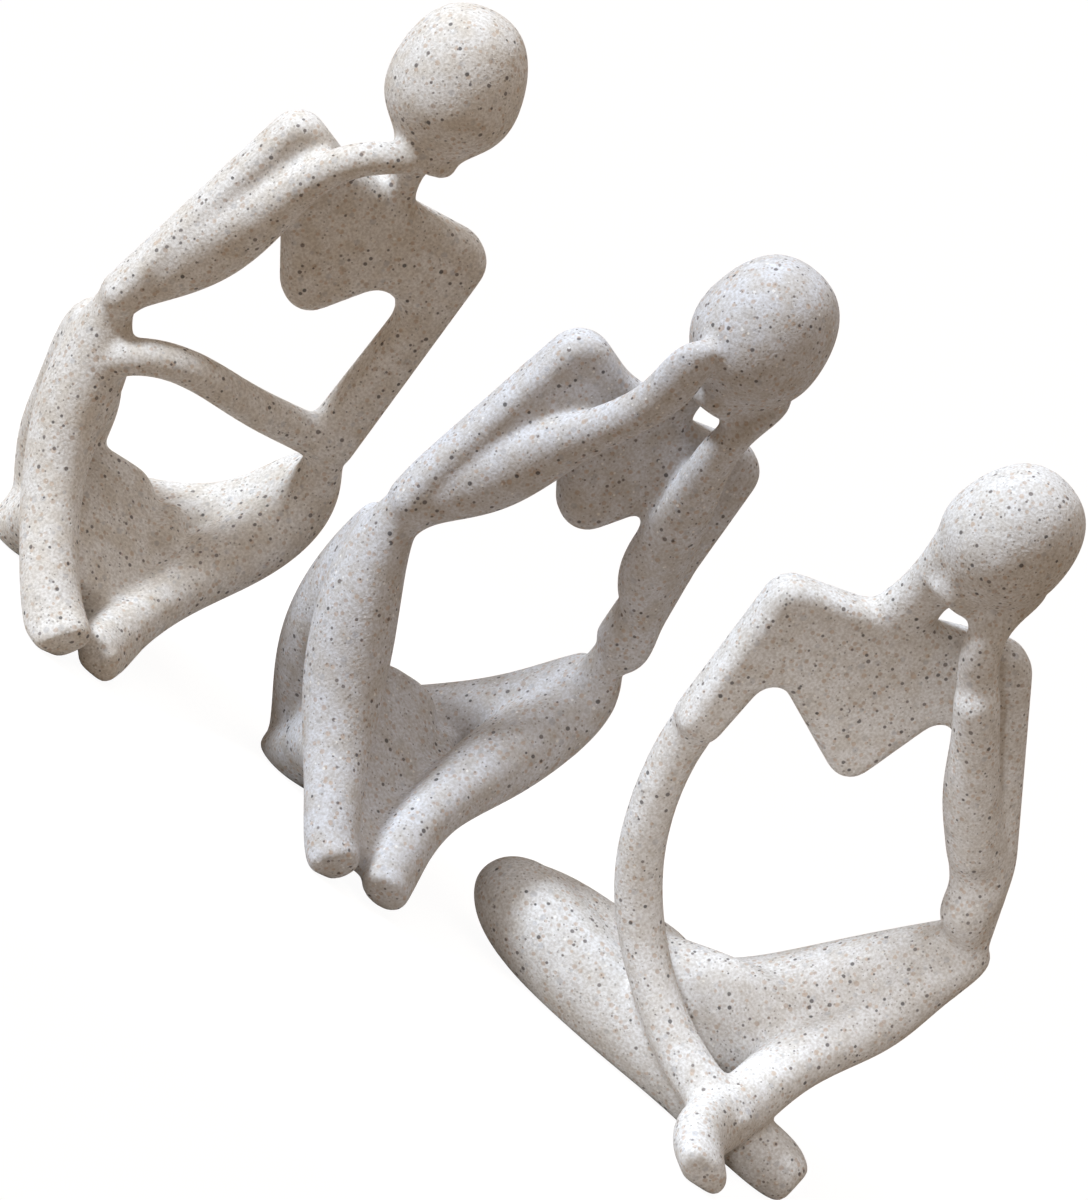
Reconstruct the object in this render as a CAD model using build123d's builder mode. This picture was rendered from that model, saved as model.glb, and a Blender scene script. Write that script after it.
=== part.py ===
from build123d import *
import os

# A set of three seated thinker figures, each cast in one piece, standing in a straight row.
# Millimetres, +Z up, floor at Z = 0. The origin is on the floor at the middle of the middle figure's seat.

# Row
turn = 27.0  # every figure looks this many degrees towards +X of straight ahead (-Y)
first_spacing = 60.2  # from the middle figure to the one on the -X side
last_spacing = 63.9  # from the middle figure to the one on the +X side

# Body sizes that the three figures share
half_width = 25.0  # middle of the body to the outside of a shoulder
half_depth = 25.0  # middle of the body forward to the ankles
shoulder_height = 100.0
limb_half = 5.0  # half the thickness of an ordinary limb
seat_setback = 14.0  # the middle of the seat lies this far behind the body's middle

# Yoke: chest, shoulders and hanging upper arms in one slab
yoke_thickness = 8.2
yoke_edge_round = 2.7
yoke_setback = 8.0  # the middle of the slab lies this far in front of the body's middle

# Heads, as eggs
head_half_width = 11.5
head_crown = 13.0  # widest level up to the crown
head_jaw = 16.4  # widest level down to the jaw
egg_shares = [(0.72, 0.57), (1, 0), (0.85, -0.5), (0.49, -0.86)]

# Lap between the thighs
lap_half_width = 9.0
lap_corner_share = 0.8


def stand_at(place):
    """The figure's own frame, under its body's middle: x to its side, y behind it, z up."""
    seat = Plane(origin=(place, 0, 0), z_dir=(0, 0, 1)).rotated((0, 0, turn))
    middle = seat.from_local_coords(Vector(0, -seat_setback, 0))
    return Plane(origin=middle, x_dir=seat.x_dir, z_dir=seat.z_dir)


def spot(stand, across, back, up):
    """A point of the figure from its three shares."""
    return stand.from_local_coords(Vector(across * half_width, back * half_depth, up * shoulder_height))


def limb(stand, station_shares):
    """A round limb through stations of across, back, up, half width and half depth."""
    middles = [spot(stand, *shares[:3]) for shares in station_shares]
    sections = []
    for number, shares in enumerate(station_shares):
        before = middles[max(number - 1, 0)]
        after = middles[min(number + 1, len(middles) - 1)]
        run = after - before
        cut = Plane(origin=middles[number], x_dir=run.cross(stand.y_dir), z_dir=run)
        with BuildSketch(cut) as section:
            Ellipse(shares[3] * limb_half, shares[4] * limb_half)
        sections.append(section.sketch)
    loft(sections=sections, clean=False)


def yoke(stand, outline_shares):
    """Chest, shoulders and upper arms as one slab with rounded edges."""
    origin = stand.from_local_coords(Vector(0, -yoke_setback, 0))
    front = Plane(origin=origin, x_dir=stand.x_dir, z_dir=-stand.y_dir)
    corners = [(across * half_width, up * shoulder_height) for across, up, _ in outline_shares]
    rounds = [round_share * limb_half for _, _, round_share in outline_shares]
    with BuildSketch(front) as outline:
        with BuildLine():
            FilletPolyline(*corners, radius=rounds, close=True)
        make_face()
    slab = extrude(outline.sketch, amount=yoke_thickness / 2, both=True)
    fillet(slab.faces().filter_by(Axis(origin, front.z_dir)).edges(), radius=yoke_edge_round)


def head(stand, place_shares, lean, size_share):
    """An egg that leans sideways by an angle, towards +x when it is positive. It is two half turns."""
    middle = spot(stand, *place_shares)
    upright = Plane(origin=middle, x_dir=stand.x_dir, z_dir=stand.z_dir).rotated((0, lean, 0))
    for side_dir in (upright.y_dir, -upright.y_dir):
        half = Plane(origin=middle, x_dir=side_dir, z_dir=side_dir.cross(upright.z_dir))
        with BuildSketch(half) as profile:
            with BuildLine():
                crown = (0, head_crown * size_share)
                jaw = (0, -head_jaw * size_share)
                wide = head_half_width * size_share
                level = [(side * wide, up * head_jaw * size_share) for side, up in egg_shares]
                Spline(crown, *level, jaw, tangents=((1, 0), (-1, 0)))
                Line(jaw, crown)
            make_face()
        revolve(profile.sketch, axis=Axis(middle, upright.z_dir), revolution_arc=180, clean=False)


def lap(stand, section_shares):
    """The lap and the sunken panel between the shins, which narrows towards the feet."""
    sections = []
    for back, low, high, wide in section_shares:
        cut = Plane(origin=spot(stand, 0, back, (low + high) / 2), x_dir=stand.x_dir, z_dir=-stand.y_dir)
        tall = (high - low) * shoulder_height
        broad = 2 * wide * lap_half_width
        with BuildSketch(cut) as section:
            RectangleRounded(broad, tall, lap_corner_share * min(broad, tall) / 2)
        sections.append(section.sketch)
    loft(sections=sections, ruled=True, clean=False)


def cut_floor():
    """The base is cut flat, so that the figure rests on it."""
    split(bisect_by=Plane.XY, keep=Keep.TOP)


# Figure with one hand on the chin and the other arm laid across to the knee
chin_head_lean = -15.0  # degrees
chin_head_shares = (-0.16, -0.52, 1.17)
chin_head_size_share = 1.005
chin_lap_shares = [
    (0.8, -0.06, 0.1, 0.5), (0.5, -0.06, 0.2, 0.9), (0.05, 0.03, 0.262, 1.15), (-0.4, 0.08, 0.18, 1.3),
    (-0.8, 0.04, 0.1, 0.55),
]
chin_yoke_shares = [
    (0.16, 0.936, 2.4), (0.97, 0.952, 1.2), (1.085, 0.47, 0.68), (0.725, 0.464, 0.68),
    (0.685, 0.882, 0.9), (0.035, 0.64, 1.0), (-0.71, 0.88, 0.86), (-0.87, 0.495, 0.66),
    (-1.16, 0.49, 0.66), (-0.865, 0.984, 1.0), (-0.32, 0.94, 2.0),
]
chin_limb_shares = {
    "neck": [
        (0.19, -0.32, 0.89, 0.95, 0.7), (0.06, -0.38, 0.97, 0.54, 0.6), (-0.04, -0.48, 1.03, 0.8, 0.8),
    ],
    "right_shin": [
        (0.92, -0.3, 0.51, 0.72, 0.74), (1.02, -0.27, 0.45, 0.78, 0.9),
        (1.07, -0.22, 0.366, 1.2, 1.3), (0.97, -0.28, 0.289, 1.26, 1.4),
        (0.75, -0.4, 0.2, 1.16, 1.28), (0.49, -0.64, 0.117, 1.0, 1.08),
        (0.3, -0.92, 0.066, 1.02, 0.96), (0.11, -1.31, 0.036, 1.02, 0.76),
    ],
    "left_shin": [
        (-0.98, -0.3, 0.54, 0.7, 0.74), (-0.94, -0.25, 0.485, 0.78, 0.9),
        (-0.84, -0.22, 0.42, 1.16, 1.3), (-0.75, -0.28, 0.327, 1.3, 1.4),
        (-0.65, -0.44, 0.229, 1.12, 1.24), (-0.48, -0.76, 0.13, 1.02, 1.1), (-0.34, -1.08, 0.066, 1.04, 0.96),
        (-0.2, -1.44, 0.034, 0.98, 0.74),
    ],
    "right_thigh": [
        (1.0, -0.12, 0.43, 0.5, 0.9), (0.86, 0, 0.305, 0.82, 1.3), (0.48, 0.26, 0.18, 1.22, 1.5),
        (0.16, 0.5, 0.11, 1.3, 1.5), (0.05, 0.6, 0, 1.0, 1.3),
    ],
    "left_thigh": [
        (-0.9, -0.12, 0.46, 0.84, 1.0), (-0.73, 0.04, 0.37, 1.26, 1.5),
        (-0.57, 0.16, 0.31, 1.46, 1.5),
        (-0.42, 0.32, 0.245, 1.5, 1.5), (-0.14, 0.52, 0.12, 1.24, 1.4), (0.05, 0.55, 0, 0.9, 1.2),
    ],
    "right_forearm": [
        (0.93, -0.3, 0.49, 0.66, 0.66), (0.44, -0.36, 0.49, 0.7, 0.74), (-0.04, -0.44, 0.491, 0.66, 0.74),
        (-0.42, -0.48, 0.486, 0.64, 0.74), (-0.68, -0.46, 0.458, 0.64, 0.7),
        (-0.78, -0.36, 0.408, 0.54, 0.6),
    ],
    "left_forearm": [
        (-0.99, -0.3, 0.52, 0.62, 0.74), (-0.81, -0.38, 0.635, 1.14, 0.86), (-0.67, -0.48, 0.75, 1.08, 0.8),
        (-0.59, -0.58, 0.872, 0.7, 0.72), (-0.5, -0.66, 0.945, 0.6, 0.66), (-0.31, -0.72, 1.0, 0.56, 0.6),
        (-0.14, -0.72, 1.022, 0.46, 0.54),
    ],
}

# Figure with both hands on its cheeks
cheeks_head_lean = 0.0
cheeks_head_shares = (0.045, -0.68, 1.178)
cheeks_head_size_share = 1.01
cheeks_lap_shares = [
    (0.8, -0.06, 0.11, 0.5), (0.5, -0.06, 0.22, 0.95), (0.05, 0.03, 0.285, 1.15), (-0.4, 0.08, 0.21, 1.25),
    (-0.8, 0.04, 0.12, 0.6), (-1.14, 0.02, 0.075, 0.35),
]
cheeks_yoke_shares = [
    (0.2, 0.948, 2.4), (0.87, 0.98, 1.1), (0.945, 0.74, 4.0), (1.045, 0.6, 1.8),
    (1.01, 0.526, 0.66), (0.73, 0.53, 0.66), (0.6, 0.87, 0.8), (0, 0.652, 1.04),
    (-0.65, 0.87, 0.8), (-0.845, 0.534, 0.68), (-1.18, 0.54, 0.68), (-1.145, 0.64, 2.4),
    (-0.88, 1.01, 1.2), (-0.36, 0.962, 2.0),
]
cheeks_limb_shares = {
    "neck": [
        (0, -0.32, 0.92, 1.4, 0.7), (0, -0.42, 1.01, 0.76, 0.72), (0, -0.56, 1.09, 0.9, 0.9),
    ],
    "right_shin": [
        (0.9, -0.3, 0.58, 0.68, 0.74), (0.93, -0.26, 0.515, 0.62, 0.84),
        (1.0, -0.22, 0.435, 1.04, 1.26), (0.86, -0.31, 0.346, 1.32, 1.4),
        (0.64, -0.48, 0.258, 1.3, 1.34), (0.41, -0.72, 0.175, 1.02, 1.08), (0.28, -0.96, 0.11, 0.98, 0.96),
        (0.24, -1.14, 0.064, 1.0, 0.86), (0.2, -1.34, 0.034, 0.92, 0.7),
    ],
    "left_shin": [
        (-1.02, -0.3, 0.59, 0.74, 0.74), (-0.99, -0.26, 0.53, 0.8, 0.86),
        (-0.93, -0.22, 0.459, 1.1, 1.28), (-0.79, -0.31, 0.353, 1.42, 1.44),
        (-0.6, -0.48, 0.243, 1.4, 1.36), (-0.44, -0.76, 0.15, 1.14, 1.1), (-0.34, -1.02, 0.089, 1.0, 0.96),
        (-0.26, -1.2, 0.047, 0.94, 0.9), (-0.21, -1.36, 0.033, 0.86, 0.78),
    ],
    "right_thigh": [
        (0.96, -0.12, 0.476, 0.56, 0.9), (0.84, 0, 0.379, 0.9, 1.35), (0.6, 0.26, 0.25, 1.14, 1.5),
        (0.22, 0.52, 0.12, 1.2, 1.5), (0.05, 0.6, 0, 1.0, 1.3),
    ],
    "left_thigh": [
        (-0.97, -0.12, 0.5, 0.84, 1.0), (-0.84, 0.04, 0.41, 1.16, 1.5),
        (-0.6, 0.3, 0.26, 1.42, 1.5), (-0.26, 0.5, 0.13, 1.36, 1.4), (0, 0.6, 0, 1.0, 1.2),
    ],
    "right_forearm": [
        (0.93, -0.3, 0.52, 0.6, 0.76), (0.83, -0.4, 0.63, 0.8, 0.84), (0.57, -0.52, 0.756, 1.1, 0.86),
        (0.42, -0.66, 0.882, 0.84, 0.76), (0.32, -0.78, 1.005, 0.62, 0.64), (0.39, -0.8, 1.066, 0.48, 0.5),
        (0.49, -0.72, 1.1, 0.2, 0.24),
    ],
    "left_forearm": [
        (-0.96, -0.3, 0.54, 0.74, 0.76), (-0.78, -0.4, 0.65, 1.1, 0.86), (-0.6, -0.54, 0.767, 1.06, 0.82),
        (-0.46, -0.7, 0.879, 0.78, 0.74), (-0.36, -0.88, 0.988, 0.78, 0.68),
        (-0.37, -0.96, 1.064, 0.82, 0.56),
        (-0.33, -0.96, 1.121, 0.36, 0.36),
    ],
}

# Figure with crossed legs, one knee raised, a hand on the cheek and the other hand on the ankle
crossed_head_lean = 8.0
crossed_head_shares = (-0.36, -0.58, 1.183)
crossed_head_size_share = 0.975
crossed_yoke_shares = [
    (-0.84, 0.926, 3.0), (-0.2, 0.97, 2.0), (0.44, 1.022, 1.2), (1.4, 0.688, 5.0),
    (1.655, 0.53, 1.2), (1.61, 0.468, 0.62), (1.36, 0.478, 0.62), (1.33, 0.585, 2.0),
    (0.25, 0.864, 0.72), (-0.02, 0.638, 0.86), (-0.98, 0.748, 0.72), (-1.0, 0.57, 0.66),
    (-1.32, 0.564, 0.66), (-1.39, 0.896, 1.0),
]
crossed_limb_shares = {
    "neck": [
        (-0.48, -0.32, 0.92, 1.4, 0.76), (-0.5, -0.4, 1.007, 0.96, 0.8), (-0.49, -0.5, 1.084, 1.34, 1.1),
        (-0.45, -0.56, 1.13, 1.75, 1.4), (-0.4, -0.57, 1.19, 1.55, 1.3),
    ],
    "seat": [
        (0.08, 0.3, -0.04, 2.2, 2.2), (0.08, 0.3, 0.05, 2.7, 2.7),
        (0.08, 0.28, 0.14, 2.3, 2.3), (0.08, 0.26, 0.205, 1.2, 1.2),
    ],
    "lap": [
        (0.15, 0.2, 0.13, 1.8, 1.4), (0.5, -0.05, 0.16, 2.1, 1.1), (0.85, -0.3, 0.19, 2.0, 1.0),
        (1.05, -0.42, 0.22, 1.0, 0.8),
    ],
    "lying_leg": [
        (-1.03, 0.84, 0.09, 0.48, 0.6), (-0.93, 0.68, 0.094, 1.36, 1.4), (-0.72, 0.44, 0.09, 1.72, 1.72),
        (-0.41, 0.16, 0.081, 1.72, 1.6), (-0.06, -0.11, 0.071, 1.52, 1.4), (0.31, -0.36, 0.061, 1.24, 1.2),
        (0.72, -0.61, 0.05, 1.12, 1.06), (1.18, -0.88, 0.045, 1.14, 1.06), (1.36, -0.98, 0.043, 0.66, 0.7),
    ],
    "lying_thigh": [
        (-0.98, 0.78, 0.09, 0.8, 0.8), (-0.72, 0.64, 0.105, 1.3, 1.3), (-0.32, 0.44, 0.115, 1.5, 1.4),
        (0.08, 0.28, 0.12, 1.6, 1.6),
    ],
    "raised_thigh": [
        (0.06, 0.28, 0.1, 1.7, 1.8), (0.6, 0.06, 0.188, 1.26, 1.66), (1.0, -0.1, 0.318, 1.16, 1.56),
        (1.3, -0.22, 0.435, 1.02, 1.28), (1.45, -0.29, 0.505, 0.8, 1.0),
    ],
    "raised_shin": [
        (1.46, -0.32, 0.54, 0.72, 0.76), (1.485, -0.35, 0.464, 1.02, 1.2), (1.32, -0.42, 0.358, 1.16, 1.3),
        (1.07, -0.53, 0.247, 1.02, 1.2), (0.81, -0.72, 0.151, 1.04, 1.1), (0.62, -0.94, 0.086, 1.14, 1.0),
        (0.42, -1.2, 0.052, 1.24, 0.94), (0.37, -1.46, 0.038, 1.18, 0.8), (0.36, -1.68, 0.03, 0.98, 0.62),
    ],
    "left_arm": [
        (-1.165, -0.32, 0.66, 0.78, 0.7), (-1.135, -0.26, 0.603, 0.81, 0.76),
        (-1.045, -0.22, 0.486, 0.8, 0.76),
        (-0.85, -0.21, 0.367, 0.82, 0.76), (-0.55, -0.22, 0.261, 0.84, 0.76),
        (-0.2, -0.35, 0.177, 0.8, 0.76), (0.15, -0.59, 0.118, 0.82, 0.76), (0.47, -0.89, 0.09, 0.88, 0.78),
        (0.7, -1.12, 0.08, 0.7, 0.64),
    ],
    "right_forearm": [
        (1.48, -0.36, 0.53, 0.66, 0.76), (1.25, -0.42, 0.62, 1.0, 0.86), (0.82, -0.5, 0.73, 1.02, 0.84),
        (0.39, -0.6, 0.855, 0.76, 0.76), (0.06, -0.68, 0.955, 0.72, 0.68),
        (-0.1, -0.72, 1.034, 0.66, 0.64), (-0.03, -0.68, 1.091, 0.46, 0.5), (0.07, -0.62, 1.136, 0.22, 0.28),
    ],
}

os.makedirs("parts", exist_ok=True)

chin_stand = stand_at(-first_spacing)
with BuildPart() as thinker_hand_on_chin:
    yoke(chin_stand, chin_yoke_shares)
    head(chin_stand, chin_head_shares, chin_head_lean, chin_head_size_share)
    for shares in chin_limb_shares.values():
        limb(chin_stand, shares)
    lap(chin_stand, chin_lap_shares)
    cut_floor()

cheeks_stand = stand_at(0)
with BuildPart() as thinker_hands_on_cheeks:
    yoke(cheeks_stand, cheeks_yoke_shares)
    head(cheeks_stand, cheeks_head_shares, cheeks_head_lean, cheeks_head_size_share)
    for shares in cheeks_limb_shares.values():
        limb(cheeks_stand, shares)
    lap(cheeks_stand, cheeks_lap_shares)
    cut_floor()

crossed_stand = stand_at(last_spacing)
with BuildPart() as thinker_cross_legged:
    yoke(crossed_stand, crossed_yoke_shares)
    head(crossed_stand, crossed_head_shares, crossed_head_lean, crossed_head_size_share)
    for shares in crossed_limb_shares.values():
        limb(crossed_stand, shares)
    cut_floor()

thinker_hand_on_chin.part.label = "thinker_hand_on_chin"
thinker_hands_on_cheeks.part.label = "thinker_hands_on_cheeks"
thinker_cross_legged.part.label = "thinker_cross_legged"
export_step(thinker_hand_on_chin.part, "parts/thinker_hand_on_chin.step")
export_step(thinker_hands_on_cheeks.part, "parts/thinker_hands_on_cheeks.step")
export_step(thinker_cross_legged.part, "parts/thinker_cross_legged.step")
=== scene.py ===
"""Looks of a set of three seated thinker figures, each cast in one piece of speckled, sand-filled resin."""

import math

import bpy
import numpy as np
import openvdb as vdb
from mathutils import Matrix, Vector


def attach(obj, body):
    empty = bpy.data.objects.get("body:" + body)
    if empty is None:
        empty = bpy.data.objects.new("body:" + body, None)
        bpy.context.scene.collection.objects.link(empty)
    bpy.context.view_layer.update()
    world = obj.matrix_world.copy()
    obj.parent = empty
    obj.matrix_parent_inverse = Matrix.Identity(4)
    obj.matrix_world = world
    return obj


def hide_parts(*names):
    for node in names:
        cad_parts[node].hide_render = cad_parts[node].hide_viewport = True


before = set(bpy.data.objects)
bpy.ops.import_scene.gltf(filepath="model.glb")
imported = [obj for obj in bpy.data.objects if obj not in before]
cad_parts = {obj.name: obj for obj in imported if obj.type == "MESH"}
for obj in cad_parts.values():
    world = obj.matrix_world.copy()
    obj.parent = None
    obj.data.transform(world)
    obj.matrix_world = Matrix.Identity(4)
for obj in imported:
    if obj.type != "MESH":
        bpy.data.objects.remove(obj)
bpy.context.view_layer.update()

MM = 0.001

# Casting
grid_step = 0.5 * MM  # spacing of the grid on which a skin is worked out
grid_margin = 6  # grid steps round a figure
band_margin = 4  # grid steps that a distance is known beyond the rounding
weld_step = 0.001 * MM  # corners nearer than this are one corner
hollow_round = 1.0 * MM  # least radius of the hollows where limbs meet
ridge_round = 1.2 * MM  # least radius of edges and tips
surface_soften = 0.5 * MM

# Rounded bars of resin added to the skins: two ends and the radius, in millimetres
lump_blend = 2.0 * MM  # how softly a bar joins the figure
lumps = {
    "thinker_hand_on_chin": (  # fills the pit between lap and right thigh
        ((-42.4, -9.0, 21.3), (-41.2, -13.2, 19.2), 3.3),
    ),
    "thinker_hands_on_cheeks": (  # fills the pit between lap and right thigh
        ((17.4, -9.0, 21.3), (18.6, -13.2, 19.0), 3.3),
    ),
    "thinker_cross_legged": (  # brings the raised forearm forward
        ((98.5, -12.7, 67.5), (82.8, -26.0, 90.6), 3.7),
    ),
}

# Camera
picture_roll = math.radians(39.6)  # the whole picture is turned clockwise by this
camera_height = math.radians(14.0)
camera_lens = 500.0
camera_sensor = 36.0
camera_near = 0.01
picture_span = 203.4 * MM  # what the picture's long side takes in at the row
picture_middle = Vector((15.21, -12.47, 53.8)) * MM

# Cool lamps from the left and from above, and a weak one in front of the cross-legged figure
key_from = (-0.8, -0.3, 0.52)
key_colour = (0.79, 0.89, 1.0)
key_strength = 3.5
key_softness = math.radians(12.0)
top_from = (-0.25, -0.12, 0.96)
top_colour = (0.86, 0.92, 1.0)
top_strength = 1.2
top_softness = math.radians(50.0)
front_place = (0.03, -0.44, 0.13)
front_aim = (0.085, -0.015, 0.045)
front_size = 0.05
front_power = 0.009
front_colour = (0.92, 0.96, 1.0)
front_spread = math.radians(16.0)

# Warm fill from all round
fill_colour = (1.0, 0.73, 0.47)
fill_strength = 0.27

# Paper that the row stands on, and the white ground behind
white = (1, 1, 1, 1)
ground_strength = 1.0
paper_half = 3.0
paper_near = 0.08  # the paper is palest up to this far from the row's middle
paper_far = 0.2  # and dullest beyond this
paper_pale = (0.5, 0.45, 0.4, 1)
paper_dull = (0.28, 0.22, 0.17, 1)
paper_glow = 1.27
paper_seen_share = 0.75  # how far the paper is shown as plain white

# Sandstone resin
resin_roughness = 0.78
resin_specular = 0.15
seed_shift = (0.31, 0.17, 0.23)  # how far each next figure's pattern is shifted
noise_detail = 2.0
cloud_size = 4.0 * MM
cloud_low, cloud_high = 0.35, 0.7
fine_size = 0.5 * MM
fine_low, fine_high = 0.25, 0.75
fine_colour = (0.3, 0.24, 0.18)
fine_strength = 0.42
bump_strength = 0.35
bump_height = 0.12 * MM
grain_dip = 0.4  # how far a grain lies below the surface, as a share of the bump's height
grain_least_share = 0.5  # a grain's radius is its kind's times this, up to one more than this
grain_outer_share, grain_inner_share = 1.25, 0.75  # a grain's edge fades between these shares of its radius

# Grey spots, brown grains, fine dark specks, black grains and white grains, each with the size of its cells,
# its radius, the share of the cells that hold a grain, its strength and the two ends of its colours
grain_kinds = (
    (1.6 * MM, 0.45 * MM, 0.4, 0.3, (0.3, 0.32, 0.38), (0.42, 0.4, 0.38)),
    (1.1 * MM, 0.33 * MM, 0.5, 0.4, (0.32, 0.17, 0.08), (0.5, 0.3, 0.15)),
    (0.7 * MM, 0.15 * MM, 0.4, 0.6, (0.16, 0.13, 0.11), (0.3, 0.26, 0.22)),
    (1.3 * MM, 0.27 * MM, 0.34, 0.8, (0.03, 0.028, 0.03), (0.16, 0.13, 0.12)),
    (1.2 * MM, 0.2 * MM, 0.3, 0.7, (0.84, 0.8, 0.74), (0.92, 0.92, 0.92)),
)

# Material slot, colour and colour of the patches of each figure
figures = {
    "thinker_hand_on_chin": ("warm_sandstone_resin", (0.87, 0.85, 0.83), (0.76, 0.71, 0.65)),
    "thinker_hands_on_cheeks": ("cool_sandstone_resin", (0.72, 0.73, 0.77), (0.63, 0.61, 0.6)),
    "thinker_cross_legged": ("grey_sandstone_resin", (0.83, 0.83, 0.84), (0.74, 0.72, 0.7)),
}


class Value:
    """A number in a shader, with arithmetic that adds the nodes it needs."""

    def __init__(self, paint, socket):
        self.paint = paint
        self.socket = socket

    def __add__(self, other):
        return self.paint.maths("ADD", self, other)

    __radd__ = __add__

    def __sub__(self, other):
        return self.paint.maths("SUBTRACT", self, other)

    def __rsub__(self, other):
        return self.paint.maths("SUBTRACT", other, self)

    def __mul__(self, other):
        return self.paint.maths("MULTIPLY", self, other)

    __rmul__ = __mul__

    def __lt__(self, other):
        return self.paint.maths("LESS_THAN", self, other)


class Paint:
    """The nodes of one material or of the world, with a method that adds any node."""

    def __init__(self, owner):
        owner.use_nodes = True
        self.tree = owner.node_tree
        self.tree.nodes.clear()

    def node(self, kind, settings=None, **inputs):
        made = self.tree.nodes.new("ShaderNode" + kind)
        for name, setting in (settings or {}).items():
            setattr(made, name, setting)
        for name, value in inputs.items():
            self.feed(made.inputs[name.replace("_", " ")], value)
        return made

    def feed(self, socket, value):
        if isinstance(value, Value):
            value = value.socket
        if isinstance(value, bpy.types.NodeSocket):
            self.tree.links.new(value, socket)
        else:
            socket.default_value = value

    def maths(self, operation, *values):
        made = self.node("Math", {"operation": operation})
        for socket, value in zip(made.inputs, values):
            self.feed(socket, value)
        return Value(self, made.outputs[0])

    def smooth_step(self, value, low, high):
        """0 below low and 1 above high, or the other way round where low is the larger."""
        made = self.node("MapRange", {"interpolation_type": "SMOOTHSTEP", "clamp": True})
        for name, number in (("Value", value), ("From Min", low), ("From Max", high)):
            self.feed(made.inputs[name], number)
        return Value(self, made.outputs["Result"])

    def noise(self, place, size):
        """Soft patches of a given size, 0 to 1 with their mean at a half."""
        made = self.node("TexNoise", Vector=place, Scale=1 / size, Detail=noise_detail)
        return Value(self, made.outputs[0])

    def grains(self, place, size, radius, share):
        """Round grains, one in some of the cells of a given size: their mask and each one's random number."""
        cells = self.node("TexVoronoi", Vector=place, Scale=1 / size)
        chances = self.node("SeparateColor", Color=cells.outputs["Color"])
        present = Value(self, chances.outputs["Red"]) < share
        reach = (Value(self, chances.outputs["Green"]) + grain_least_share) * (radius / size)
        distance = Value(self, cells.outputs["Distance"])
        mask = self.smooth_step(distance, reach * grain_outer_share, reach * grain_inner_share)
        return present * mask, Value(self, chances.outputs["Blue"])

    def mix(self, amount, first, second):
        made = self.node("Mix", {"data_type": "RGBA", "clamp_factor": True})
        self.feed(made.inputs[0], amount)
        self.feed(made.inputs[6], first)
        self.feed(made.inputs[7], second)
        return made.outputs[2]

    def seen_rays(self):
        """1 where the camera, gloss or glass looks, so that all of them see the white ground."""
        rays = self.node("LightPath").outputs
        seen = self.maths("MAXIMUM", rays["Is Camera Ray"], rays["Is Glossy Ray"])
        return self.maths("MAXIMUM", seen, rays["Is Transmission Ray"])

    def finish(self, kind, first, second=None, share=None):
        """Ends the nodes in one shader, or in two mixed by a share."""
        if second:
            mixed = self.node("MixShader", Fac=share)
            self.feed(mixed.inputs[1], first.outputs[0])
            self.feed(mixed.inputs[2], second.outputs[0])
            first = mixed
        self.node(kind, Surface=first.outputs[0])


def place_in_scene(name, data):
    """A new object in the scene, at the origin."""
    made = bpy.data.objects.new(name, data)
    bpy.context.scene.collection.objects.link(made)
    return made


def smooth_array(values, times):
    """Each pass is a 1-2-1 mean along the three axes."""
    for _ in range(times):
        for axis, count in enumerate(values.shape):
            padded = np.concatenate([
                np.take(values, [0], axis), values, np.take(values, [-1], axis)], axis)
            before = np.take(padded, range(0, count), axis)
            after = np.take(padded, range(2, count + 2), axis)
            values = values / 2 + (before + after) / 4
    return values


def level_set(points, triangles, quads, half_width):
    """Distance to a closed surface, on a grid of grid_step."""
    transform = vdb.createLinearTransform(voxelSize=grid_step)
    return vdb.FloatGrid.createLevelSetFromPolygons(
        points=points, triangles=triangles, quads=quads, transform=transform, halfWidth=half_width)


def solid_surface(node):
    """Corners and triangles of a CAD solid, with each corner once."""
    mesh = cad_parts[node].data.copy()
    mesh.calc_loop_triangles()
    points = np.empty(len(mesh.vertices) * 3, np.float32)
    mesh.vertices.foreach_get("co", points)
    points = points.reshape(-1, 3)
    corners = np.empty(len(mesh.loop_triangles) * 3, np.int32)
    mesh.loop_triangles.foreach_get("vertices", corners)
    bpy.data.meshes.remove(mesh)
    steps = np.round(points / weld_step)
    _, first, merged = np.unique(steps, axis=0, return_index=True, return_inverse=True)
    corners = merged.reshape(-1)[corners].astype(np.uint32)
    return points[first], corners.reshape(-1, 3)


def rounded_distance(points, corners, low, high):
    """Distance to the solid on a block of the grid, with its hollows filled out and its ridges worn down."""
    half_width = (hollow_round + ridge_round) / grid_step + band_margin
    solid = level_set(points, corners, None, half_width)
    swollen = level_set(*solid.convertToPolygons(isovalue=hollow_round), half_width)
    shrunk = level_set(*swollen.convertToPolygons(isovalue=-hollow_round - ridge_round), half_width)
    distance = np.empty(high - low, np.float32)
    shrunk.copyToArray(distance, ijk=tuple(int(v) for v in low))
    return distance - ridge_round


def add_lump(distance, low, ends, radius):
    """Adds a rounded bar between two ends to a block of distances, with a soft joint."""
    axes = [(np.arange(count) + first) * grid_step for count, first in zip(distance.shape, low)]
    place = np.stack(np.meshgrid(*axes, indexing="ij"), -1).astype(np.float32)
    start, stop = (np.array(end, np.float32) * MM for end in ends)
    along = stop - start
    share = np.clip((place - start) @ along / (along @ along), 0, 1)
    bar = np.linalg.norm(place - start - share[..., None] * along, axis=-1) - radius * MM
    blend = np.clip((bar - distance) / lump_blend / 2 + 1 / 2, 0, 1)
    return bar * (1 - blend) + distance * blend - lump_blend * blend * (1 - blend)


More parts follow.
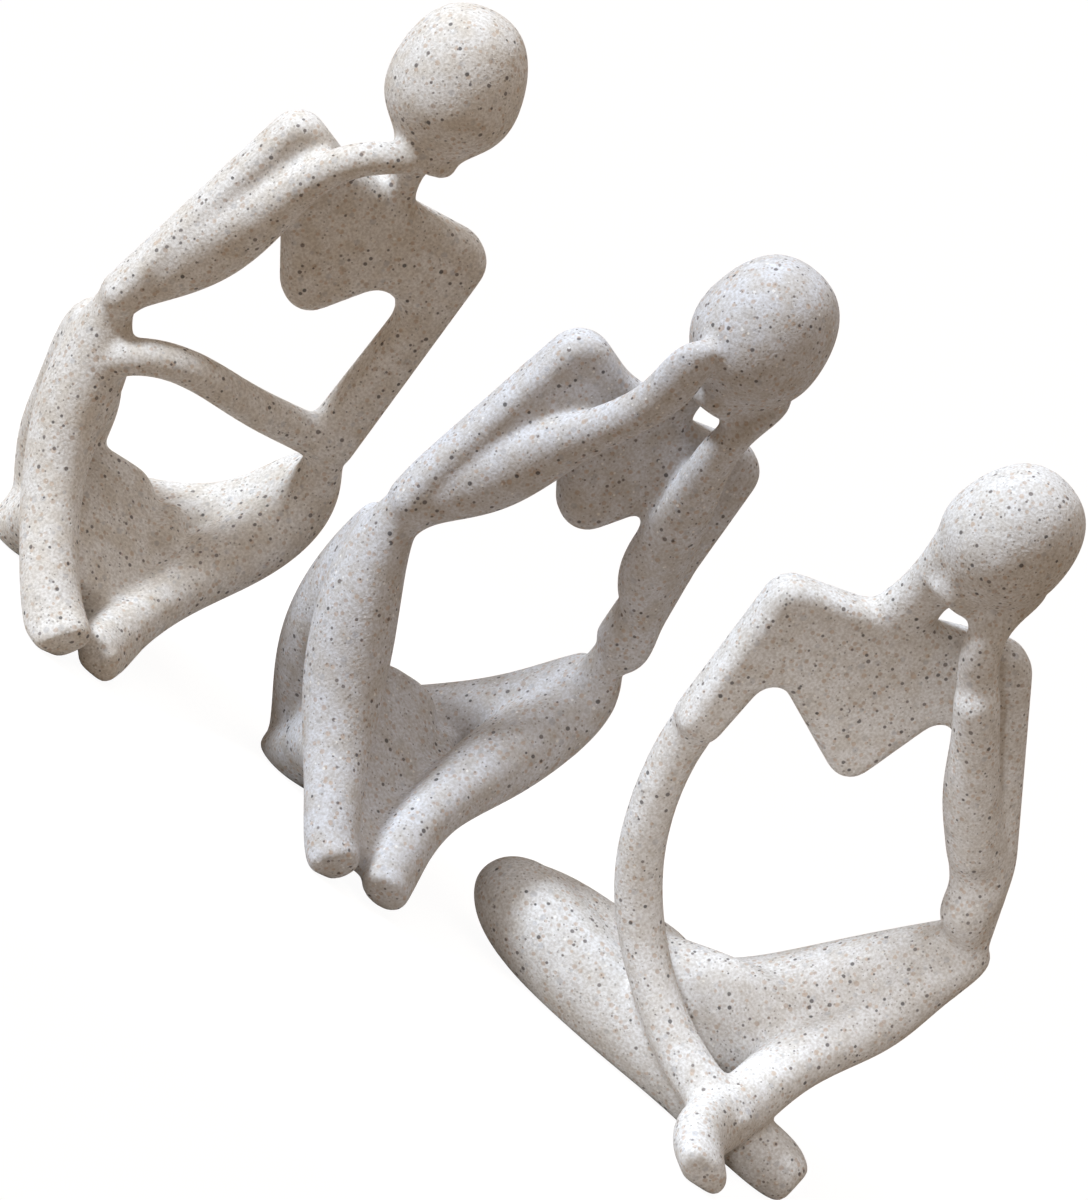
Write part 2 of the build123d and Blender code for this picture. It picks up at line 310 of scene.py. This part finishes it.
def cast_skin(node, name):
    """The casting's skin: the solid with hollows and ridges rounded and bars added, all of it softened."""
    points, corners = solid_surface(node)
    low = np.floor(points.min(0) / grid_step).astype(int) - grid_margin
    high = np.ceil(points.max(0) / grid_step).astype(int) + grid_margin + 1
    distance = rounded_distance(points, corners, low, high)
    for start, stop, radius in lumps[node]:
        distance = add_lump(distance, low, (start, stop), radius)
    distance = smooth_array(distance, 2 * round((surface_soften / grid_step) ** 2))

    soft = vdb.FloatGrid(1.0)
    soft.copyFromArray(distance, ijk=tuple(int(v) for v in low))
    soft.transform = vdb.createLinearTransform(voxelSize=grid_step)
    points, triangles, quads = soft.convertToPolygons(isovalue=0.0)
    points[:, 2] = np.maximum(points[:, 2], 0)
    faces = [tuple(face[::-1]) for face in quads.tolist() + triangles.tolist()]
    mesh = bpy.data.meshes.new(name)
    mesh.from_pydata(points.tolist(), [], faces)
    mesh.validate()
    mesh.polygons.foreach_set("use_smooth", [True] * len(mesh.polygons))
    mesh.update()
    return place_in_scene(name, mesh)


def sandstone(name, base, patches, seed):
    """Pale resin with sand in it: soft patches, a fine grain, and grains of five kinds."""
    material = bpy.data.materials.new(name)
    paint = Paint(material)
    own = paint.node("TexCoord").outputs["Object"]
    place = paint.node("Mapping", Vector=own, Location=[seed * shift for shift in seed_shift]).outputs[0]
    cloud = paint.smooth_step(paint.noise(place, cloud_size), cloud_low, cloud_high)
    colour = paint.mix(cloud, (*base, 1), (*patches, 1))
    fine = paint.smooth_step(paint.noise(place, fine_size), fine_low, fine_high)
    colour = paint.mix(fine * fine_strength, colour, (*fine_colour, 1))
    height = fine
    for size, radius, share, strength, first, second in grain_kinds:
        mask, random = paint.grains(place, size, radius, share)
        grain = paint.mix(random, (*first, 1), (*second, 1))
        colour = paint.mix(mask * strength, colour, grain)
        height = height - mask * grain_dip
    bump = paint.node("Bump", Strength=bump_strength, Distance=bump_height, Height=height)
    resin = paint.node("BsdfPrincipled", Roughness=resin_roughness, Base_Color=colour, Normal=bump.outputs[0])
    paint.feed(resin.inputs["Specular IOR Level"], resin_specular)
    paint.finish("OutputMaterial", resin)
    return material


def stage_floor():
    """Pale paper that only holds the shadow."""
    half = paper_half
    corners = [(-half, -half, 0), (half, -half, 0), (half, half, 0), (-half, half, 0)]
    mesh = bpy.data.meshes.new("floor")
    mesh.from_pydata(corners, [], [range(len(corners))])
    floor = place_in_scene("floor", mesh)
    material = bpy.data.materials.new("floor_paper")
    paint = Paint(material)
    place = paint.node("TexCoord").outputs["Object"]
    away = Value(paint, paint.node("VectorMath", {"operation": "LENGTH"}, Vector=place).outputs["Value"])
    dull = paint.smooth_step(away, paper_near, paper_far)
    paper = paint.node("BsdfDiffuse", Color=paint.mix(dull, paper_pale, paper_dull))
    glow = paint.node("Emission", Color=white, Strength=paper_glow)
    paint.finish("OutputMaterial", paper, glow, paint.seen_rays() * paper_seen_share)
    mesh.materials.append(material)


def stage_world():
    """White ground behind, and a soft fill from all round."""
    world = bpy.data.worlds.new("studio")
    bpy.context.scene.world = world
    paint = Paint(world)
    fill = paint.node("Background", Color=(*fill_colour, 1), Strength=fill_strength)
    ground = paint.node("Background", Color=white, Strength=ground_strength)
    paint.finish("OutputWorld", fill, ground, paint.seen_rays())


def stage_sun(name, source, strength, colour, softness):
    """Even light from one side."""
    data = bpy.data.lights.new(name, "SUN")
    data.energy = strength
    data.color = colour
    data.angle = softness
    sun = place_in_scene(name, data)
    sun.rotation_euler = Vector(source).to_track_quat("Z", "Y").to_euler()


def stage_front():
    """Weak lamp in front, aimed at the figure on the right."""
    data = bpy.data.lights.new("front", "AREA")
    data.size = front_size
    data.energy = front_power
    data.color = front_colour
    data.spread = front_spread
    front = place_in_scene("front", data)
    front.location = front_place
    front.rotation_euler = (Vector(front_place) - Vector(front_aim)).to_track_quat("Z", "Y").to_euler()


def stage_camera():
    """Looks along the row's +Y from a little above, with the picture turned."""
    data = bpy.data.cameras.new("camera")
    data.lens = camera_lens
    data.sensor_width = camera_sensor
    data.clip_start = camera_near
    distance = picture_span * camera_lens / camera_sensor
    away = Vector((0, -math.cos(camera_height), math.sin(camera_height)))
    turned = away.to_track_quat("Z", "Y").to_matrix().to_4x4() @ Matrix.Rotation(picture_roll, 4, "Z")
    camera = place_in_scene("camera", data)
    camera.matrix_world = Matrix.Translation(picture_middle + away * distance) @ turned
    bpy.context.scene.camera = camera


stage_camera()
stage_world()
stage_floor()
stage_sun("key", key_from, key_strength, key_colour, key_softness)
stage_sun("top", top_from, top_strength, top_colour, top_softness)
stage_front()

for seed, (node, (slot, base, patches)) in enumerate(figures.items()):
    skin = cast_skin(node, node.replace("thinker", "casting"))
    skin.data.materials.append(sandstone(slot, base, patches, seed))
    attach(skin, "root")
    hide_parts(node)

bpy.context.scene.view_settings.view_transform = "Standard"
